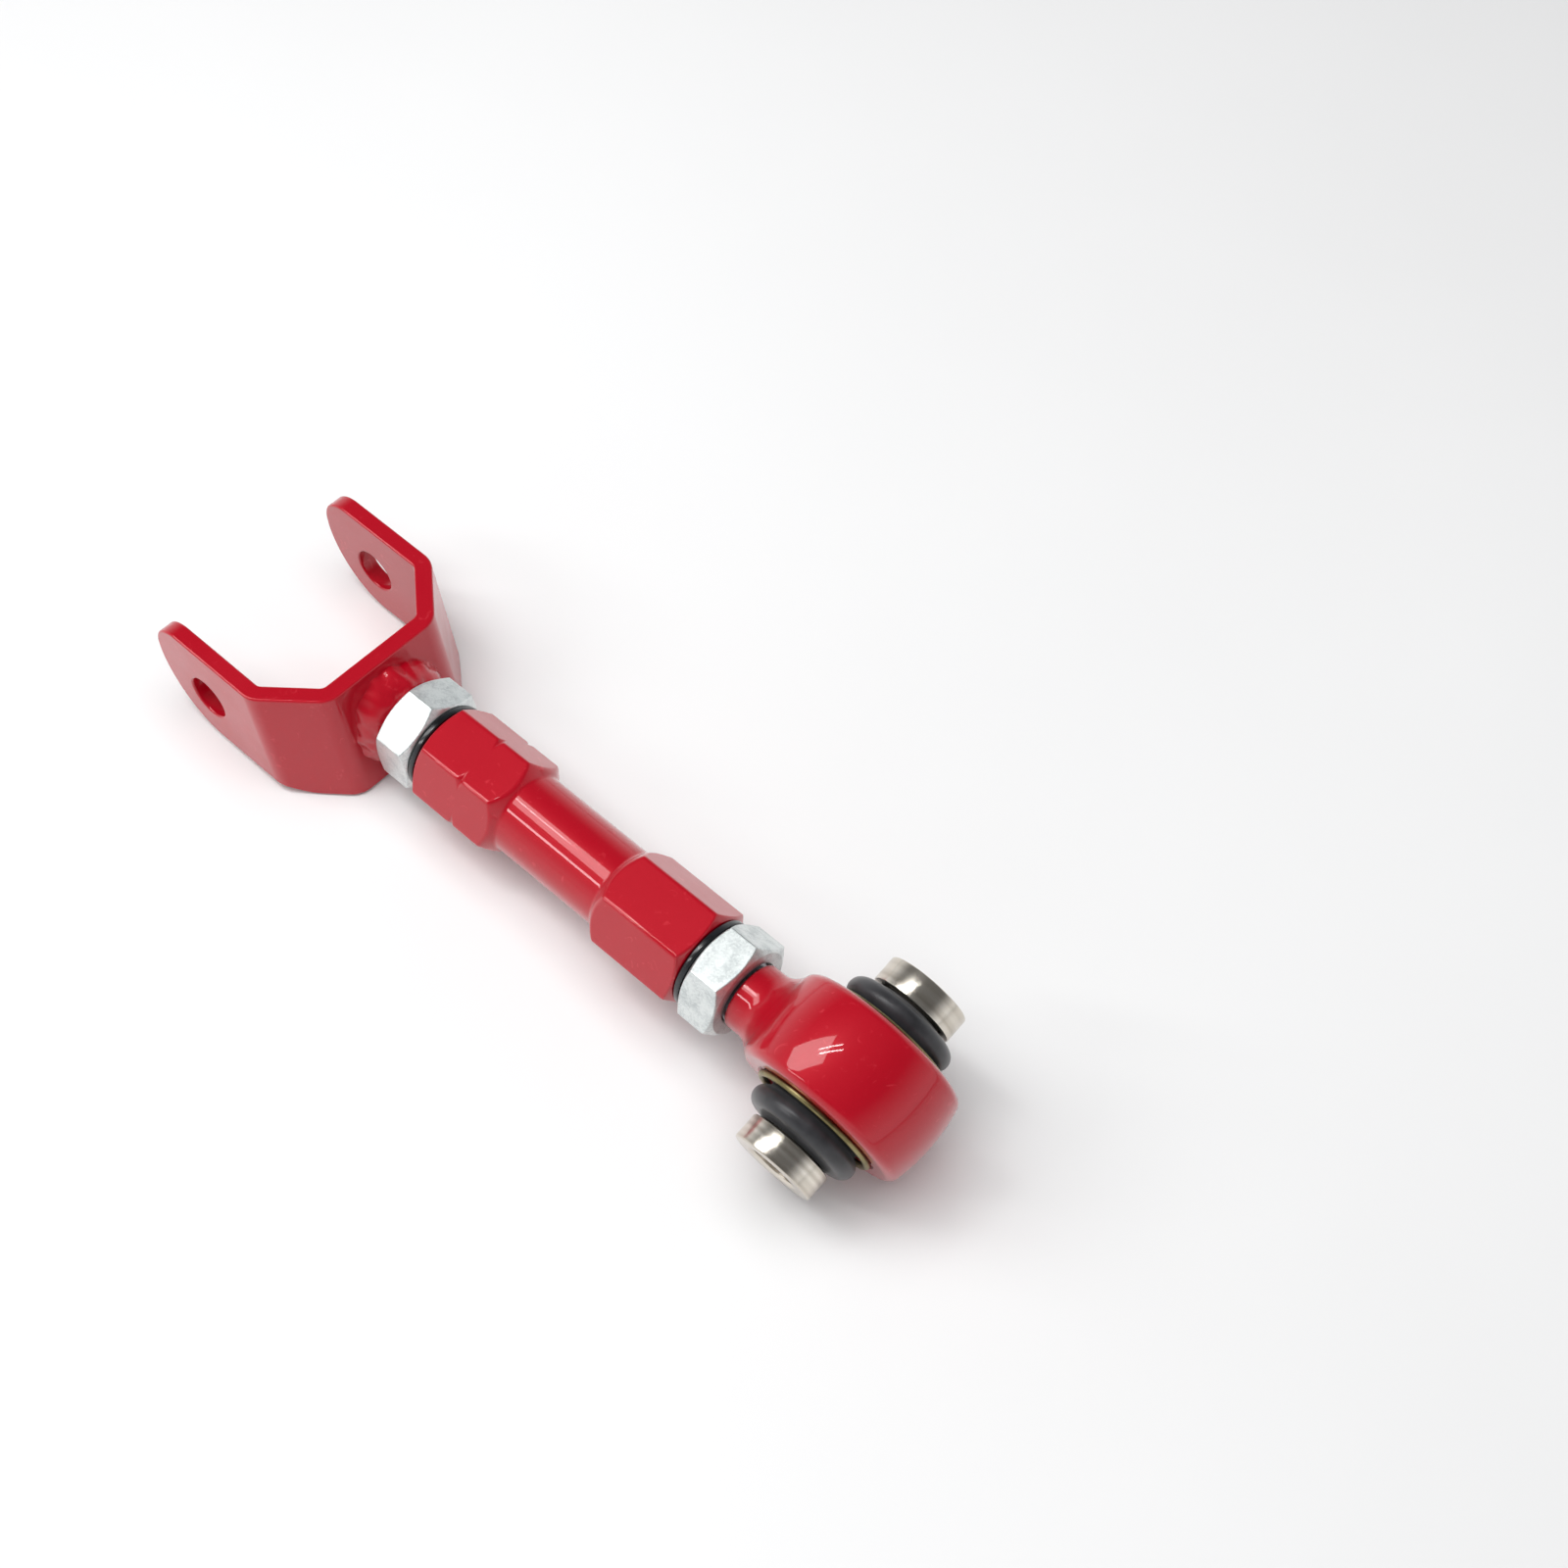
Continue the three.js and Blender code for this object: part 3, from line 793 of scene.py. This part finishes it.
def makeWeld():
    # a hand-laid fillet, lumpy where the bead was built up: its base leans with the back
    w = weldSet
    face = forkSet["backX"] + forkSet["plate"] - 0.3
    length = w["end"] - face
    steps = 16
    verts = []

    def addVert(along, r, y, z):
        x = face + length * along - forkSet["lean"] * r * z * (1 - along)
        verts.append((min(x, w["stop"]), r * y, r * z))

    for j in range(w["sides"]):
        angle = 2 * math.pi * j / w["sides"]
        y, z = math.cos(angle), math.sin(angle)
        for k in range(steps + 1):
            swing = math.pi / 2 * k / steps
            place = Vector((swing * 4, y * 12, z * 12)) / w["lumpSize"]
            lump = noise.noise(place) + 0.6 * noise.noise(place * 2.3 + Vector((7, 3, 1)))
            fullness = 1 + w["lump"] * lump / w["across"]
            along = math.sin(swing) ** w["slope"] * (0.6 + 0.4 * fullness)
            addVert(along, w["inner"] + w["across"] * fullness * math.cos(swing) ** w["slope"], y, z)
        addVert(0, w["inner"], y, z)
    bead = cleaned(verts, tubeFaces(w["sides"], steps + 2))
    makePiece("forkWeld", bead, "paint", armFrame, "fork", "red_paint", ["fork_weld"], sharp=80)


makeStud()
makeWeld()
print("stud and weld made")

hexSet = {"acrossFlats": 27, "face": 12.9, "over": 15.9, "bore": 9.15, "sink": 0.6, "perFlat": 40}


def smoothLess(a, b, ease):
    near = max(ease - abs(a - b), 0) / ease
    return min(a, b) - near * near * ease / 4


def hexAngles(corner):
    sixth = math.pi / 3
    parts = [k / hexSet["perFlat"] for k in range(hexSet["perFlat"])]
    offsets = [sixth / 2 * math.sin(math.pi * (part - 0.5)) for part in parts]
    return [math.radians(corner) + sixth * (side + 0.5) + offset for side in range(6) for offset in offsets]


def hexLimit(corner, ease):
    # how far out the hex lets a turned surface stand, at an angle round X
    flat = hexSet["acrossFlats"] / 2
    sixth = math.pi / 3

    def limit(angle, radius):
        turn = (angle - math.radians(corner)) % sixth - sixth / 2
        wall = smoothLess(flat / math.cos(turn), flat / math.cos(sixth - abs(turn)), ease)
        return smoothLess(radius, wall, ease)

    return limit


def coneLength():
    return (hexSet["over"] - hexSet["face"]) * math.tan(math.radians(30))


def makeNut(name, node, corner):
    start, end = span(node)
    h = hexSet
    cone = coneLength()
    mouth = h["bore"] + h["sink"]
    profile = [
        (start + h["sink"], h["bore"], 0),
        (start, mouth, 0.15),
        (start, h["face"], 0.3),
        (start + cone, h["over"], 0),
        (end - cone, h["over"], 0),
        (end, h["face"], 0.3),
        (end, mouth, 0.15),
        (end - h["sink"], h["bore"], 0),
    ]
    shape = spin(dense(rounded(profile)), hexAngles(corner), hexLimit(corner, 0.25))
    makePiece(name, cleaned(*shape), "zinc", armFrame, node, "zinc_plate", [node], sharp=50)


sleeveSet = {
    "corner": 9.7,
    "waist": 12,
    "hexOneEnd": 87.3,
    "hexTwoStart": 130.6,
    "notchX": 77,
    "notchDepth": 1.3,
    "ease": 0.7,
}


def makeSleeve():
    start, end = span("turnbuckle_sleeve")
    h, s = hexSet, sleeveSet
    cone = coneLength()
    mouth = h["bore"] + h["sink"]
    drop = h["over"] - s["waist"]
    profile = [
        (start + h["sink"], h["bore"], 0),
        (start, mouth, 0.2),
        (start, h["face"], 0.4),
        (start + cone, h["over"], 0),
        (s["notchX"] - s["notchDepth"], h["over"], 0),
        (s["notchX"], h["over"] - s["notchDepth"], 0.25),
        (s["notchX"] + s["notchDepth"], h["over"], 0),
        (s["hexOneEnd"], h["over"], 0),
        (s["hexOneEnd"] + drop, s["waist"], 1.5),
        (s["hexTwoStart"] - drop, s["waist"], 1.5),
        (s["hexTwoStart"], h["over"], 0),
        (end - cone, h["over"], 0),
        (end, h["face"], 0.4),
        (end, mouth, 0.2),
        (end - h["sink"], h["bore"], 0),
    ]
    shape = spin(dense(rounded(profile)), hexAngles(s["corner"]), hexLimit(s["corner"], s["ease"]))
    sleeve = cleaned(*shape)
    node = "turnbuckle_sleeve"
    makePiece("turnbuckleSleeve", sleeve, "paint", armFrame, "sleeve", "red_paint", [node], sharp=50)


lockRingSet = {"inner": 9.3, "outer": 13.2, "round": 0.5}


def makeLockRing(name, node):
    start, end = span(node)
    r = lockRingSet
    profile = [
        (start, r["inner"], 0.2),
        (start, r["outer"], r["round"]),
        (end, r["outer"], r["round"]),
        (end, r["inner"], 0.2),
    ]
    shape = spin(rounded(profile), evenAngles(128))
    makePiece(name, cleaned(*shape), "black", armFrame, "lock_rings", "black_oxide", [node])


makeNut("jamNutFork", "jam_nut_fork", 32)
makeNut("jamNutEye", "jam_nut_eye", 10.8)
makeSleeve()
makeLockRing("lockRingFork", "lock_ring_fork")
makeLockRing("lockRingEye", "lock_ring_eye")
print("turnbuckle made")

# the eye is a crowned barrel run into its neck, meshed by pulling a rough mesh onto the exact surface
eyeSet = {
    "radius": 26.4,
    "edgeRadius": 25.2,
    "half": 13.5,
    "round": 2.2,
    "neck": 9.75,
    "neckStart": 172.5,
    "neckRound": 0.7,
    "fillet": 5.0,
    "bore": 17.75,
    "mouth": 18.65,
    "mouthStart": 12.85,
    "mouthBevel": 0.5,
    "groove": 18.9,
    "grooveStart": 10.0,
    "grooveEnd": 11.45,
    "voxel": 0.8,
    "pulls": 4,
}


def roundedBoth(a, b, radius):
    # inside both a and b, with the edge between them rounded
    a, b = a + radius, b + radius
    return np.minimum(np.maximum(a, b), 0) + np.hypot(np.maximum(a, 0), np.maximum(b, 0)) - radius


def eyeField(points):
    # distance from the eye's surface, negative inside
    e = eyeSet
    local = points - np.array((eyeX, 0, 0))
    s = local @ np.array(bearingAxis)
    out = np.linalg.norm(local - s[:, None] * np.array(bearingAxis), axis=1)
    flatPart = e["half"] - e["round"]
    sag = e["radius"] - e["edgeRadius"]
    crown = (flatPart**2 + sag**2) / (2 * sag)
    barrel = roundedBoth(np.hypot(out + crown - e["radius"], s) - crown, np.abs(s) - e["half"], e["round"])
    ends = np.maximum(e["neckStart"] - points[:, 0], points[:, 0] - eyeX)
    neck = roundedBoth(np.hypot(points[:, 1], points[:, 2]) - e["neck"], ends, e["neckRound"])
    near = np.hypot(np.maximum(e["fillet"] - barrel, 0), np.maximum(e["fillet"] - neck, 0))
    return np.maximum(np.minimum(barrel, neck), e["fillet"]) - near


def fieldSlope(field, points, value, step=0.01):
    return np.stack([(field(points + axis * step) - value) / step for axis in np.eye(3)], axis=1)


def pullOnto(bm, field, rounds=4):
    points = np.array([vert.co for vert in bm.verts])
    for _ in range(rounds):
        value = field(points)
        slope = fieldSlope(field, points, value)
        size = np.maximum((slope**2).sum(axis=1), 0.05)
        points -= slope * (value / size)[:, None]
    for vert, point in zip(bm.verts, points):
        vert.co = point


def smoothOutside(piece, field):
    # shades the outside by the exact surface and leaves the bore's own corners sharp
    mesh = piece.data
    toLocal = armFrame.inverted()
    points = np.array([toLocal @ vert.co for vert in mesh.vertices])
    value = field(points)
    slope = fieldSlope(field, points, value)
    slope /= np.maximum(np.linalg.norm(slope, axis=1), 0.0001)[:, None]
    normals = np.zeros((len(mesh.loops), 3))
    for face in mesh.polygons:
        corners = list(face.vertices)
        near = np.abs(value[corners]).max() < 0.05
        alike = (slope[corners] @ np.array(face.normal)).min() > 0.8
        if near and alike:
            normals[face.loop_start : face.loop_start + face.loop_total] = slope[corners]
    mesh.normals_split_custom_set(normals.tolist())


def boreCutter():
    e = eyeSet
    wide = e["mouth"] + e["mouthBevel"]
    half = [
        (e["grooveStart"], e["bore"]),
        (e["grooveStart"], e["groove"]),
        (e["grooveEnd"], e["groove"]),
        (e["grooveEnd"], e["bore"]),
        (e["mouthStart"], e["bore"]),
        (e["mouthStart"], e["mouth"]),
        (e["half"] - 0.35, e["mouth"]),
        (e["half"] + 0.15, wide),
        (e["half"] + 4, wide),
    ]
    profile = [(-x, r) for x, r in reversed(half)] + half
    end = profile[-1][0]
    verts, faces = spin([(-end, 0.5), *profile, (end, 0.5)], evenAngles(128))
    return cleaned(verts, faces)


def makeEye():
    e = eyeSet
    toArm = armFrame.inverted() @ bearingFrame
    barrel = rounded([(-e["half"], 1, 0), (-e["half"], 25, 2), (e["half"], 25, 2), (e["half"], 1, 0)])
    verts, faces = spin(barrel, evenAngles(96))
    verts = [tuple(toArm @ Vector(v)) for v in verts]
    neck = [(e["neckStart"], 0.5), (e["neckStart"], e["neck"]), (eyeX - 12, e["neck"]), (eyeX - 12, 0.5)]
    neckVerts, neckFaces = spin(neck, evenAngles(64))
    faces += [tuple(i + len(verts) for i in face) for face in neckFaces]
    rough = cleaned(verts + neckVerts, faces)
    rough = modified(rough, "REMESH", mode="VOXEL", voxel_size=e["voxel"])
    for _ in range(e["pulls"]):
        pullOnto(rough, eyeField)
        everyAxis = {"use_axis_x": True, "use_axis_y": True, "use_axis_z": True}
        bmesh.ops.smooth_vert(rough, verts=rough.verts, factor=0.5, **everyAxis)
    pullOnto(rough, eyeField)
    cutter = boreCutter()
    cutter.transform(toArm)
    cutterMesh = bpy.data.meshes.new("cutter")
    cutter.to_mesh(cutterMesh)
    cutter.free()
    holder = bpy.data.objects.new("cutter", cutterMesh)
    bpy.context.scene.collection.objects.link(holder)
    eye = modified(rough, "BOOLEAN", operation="DIFFERENCE", solver="EXACT", object=holder)
    bpy.data.objects.remove(holder)
    bmesh.ops.remove_doubles(eye, verts=eye.verts, dist=0.01)
    housing = makePiece("eyeHousing", eye, "paint", armFrame, "eye", "red_paint", ["eye_housing"], sharp=30)
    smoothOutside(housing, eyeField)
    shank = makeThread(span("eye_housing")[0], e["neckStart"] + 1, 1)
    makePiece("eyeShank", shank, "thread", armFrame, "eye", "zinc_plate", ["eye_housing"])


makeEye()
print("eye made")


def sphereArc(radius, start, end, steps=24):
    places = [start + (end - start) * k / steps for k in range(steps + 1)]
    return [(x, math.sqrt(radius**2 - x**2)) for x in places]


bearingSet = {
    "raceHalf": 9.8,
    "raceRadius": 17.5,
    "raceSphere": 15.2,
    "mouth": 8.2,
    "linerOut": 14.95,
    "linerIn": 14.45,
    "linerHalf": 8.4,
    "ball": 14.2,
    "ballHalf": 10.4,
    "ballBore": 8.3,
}


def makeBearingPiece(name, profile, look, body, slot, nodes, sides=128, **more):
    shape = cleaned(*spin(profile, evenAngles(sides)))
    return makePiece(name, shape, look, bearingFrame, body, slot, nodes, turned=True, **more)


def makeBearing():
    b = bearingSet
    half, mouth, radius = b["raceHalf"], b["mouth"], b["raceRadius"]
    outside = rounded([(half, 14.4, 0), (half, radius, 0.5), (-half, radius, 0.5), (-half, 14.4, 0)])
    race = sphereArc(b["raceSphere"], -mouth, mouth) + outside
    makeBearingPiece("bearingRace", race, "race", "eye", "bearing_steel", ["bearing_race"])
    liner = sphereArc(b["linerOut"], -b["linerHalf"], b["linerHalf"])
    liner += sphereArc(b["linerIn"], b["linerHalf"], -b["linerHalf"])
    makeBearingPiece("bearingLiner", liner, "liner", "swivel", "bearing_liner", ["bearing_liner"])
    ball = sphereArc(b["ball"], -b["ballHalf"], b["ballHalf"], 40)
    ball += [(b["ballHalf"], b["ballBore"] + 0.3), (b["ballHalf"] - 0.3, b["ballBore"])]
    ball += [(-x, r) for x, r in reversed(ball[-2:])]
    makeBearingPiece("bearingBall", ball, "race", "ball", "bearing_steel", ["bearing_ball"])


clipSet = {"inner": 15.6, "outer": 18.6, "start": 10.1, "end": 11.3, "gapHalf": 9}


def makeCirclip(side, end):
    c = clipSet
    start, inner, outer = c["start"], c["inner"], c["outer"]
    corners = [(start, inner), (start, outer), (c["end"], outer), (c["end"], inner)]
    profile = rounded([(side * x, r, 0.15) for x, r in corners], steps=2)
    gap = math.radians(c["gapHalf"])
    angles = [gap + (2 * math.pi - 2 * gap) * k / 96 for k in range(97)]
    shape = cleaned(*spin(profile, angles, gap=True))
    node = f"race_circlip_{end.lower()}"
    makePiece(f"raceCirclip{end}", shape, "clip", bearingFrame, "eye", "circlip_steel", [node])


ringSet = {"wire": 0.9, "circle": 17.35, "place": 14.05}


def makeBootRing(side, end):
    r = ringSet
    place, circle, wire = side * r["place"], r["circle"], r["wire"]
    profile = [(place + wire * math.cos(a), circle + wire * math.sin(a)) for a in evenAngles(20)]
    node = f"boot_ring_{end.lower()}"
    makeBearingPiece(f"bootRing{end}", profile, "gold", "eye", "gold_zinc", [node], sides=144)


# a boot's wall follows a bead in the eye's mouth, a groove under the ring, one fold and a lip on the spacer
bootSet = {
    "wall": 0.6,
    "bead": [(12.2, 17.1), (12.2, 15.2), (12.2, 14.2), (12.45, 13.6)],
    "groove": [(13.0, 13.2), (13.9, 13.05), (14.8, 13.2)],
    "fold": (18.1, 13.1, 2.6),
    "foldFrom": 162,
    "foldTurn": 164,
    "foldSteps": 24,
    "lip": [(20.9, 12.1), (21.15, 11.2), (21.45, 10.5), (21.65, 9.95)],
    "softFrom": 14.9,
    "softTo": 20.8,
}


def makeBoot(side, end):
    b = bootSet
    foldS, foldR, foldSize = b["fold"]
    middle = b["bead"] + b["groove"]
    for k in range(b["foldSteps"] + 1):
        angle = math.radians(b["foldFrom"] - b["foldTurn"] * k / b["foldSteps"])
        middle.append((foldS + foldSize * math.cos(angle), foldR + foldSize * math.sin(angle)))
    middle += b["lip"]
    walls = [[], []]
    for i, (s, r) in enumerate(middle):
        before = Vector(middle[max(i - 1, 0)])
        after = Vector(middle[min(i + 1, len(middle) - 1)])
        along = (after - before).normalized() * b["wall"]
        walls[0].append((side * (s - along.y), r + along.x))
        walls[1].append((side * (s + along.y), r - along.x))
    profile = walls[0] + walls[1][::-1]
    node = f"dust_boot_{end.lower()}"
    boot = makeBearingPiece(f"dustBoot{end}", profile, "rubber", None, "boot_rubber", [node], sharp=75)
    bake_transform(boot)


spacerSet = {
    "bore": 7.1,
    "insert": 8.0,
    "neck": 9.0,
    "flange": 12.1,
    "ballHalf": 10.7,
    "flangeStart": 22.8,
    "end": 30.1,
}


def makeSpacer(side, end):
    s = spacerSet
    corners = [
        (0.2, s["bore"], 0),
        (0.2, s["insert"], 0.2),
        (s["ballHalf"], s["insert"], 0),
        (s["ballHalf"], s["neck"], 0.2),
        (s["flangeStart"], s["neck"], 0.6),
        (s["flangeStart"], s["flange"], 0.35),
        (s["end"], s["flange"], 0.45),
        (s["end"], s["bore"] + 0.7, 0.1),
        (s["end"] - 0.7, s["bore"], 0.1),
    ]
    profile = rounded([(side * x, r, bend) for x, r, bend in corners], steps=4)
    node = f"spacer_{end.lower()}"
    makeBearingPiece(f"spacer{end}", profile, "stainless", "ball", "stainless", [node], sides=160)


makeBearing()
for endSide, endName in ((1, "Left"), (-1, "Right")):
    makeCirclip(endSide, endName)
    makeBootRing(endSide, endName)
    makeBoot(endSide, endName)
    makeSpacer(endSide, endName)
print("bearing made")

makeCamera()
makeFloor(makeFloorPaint())
makeLights()
makeWorld()

print("scene ready")
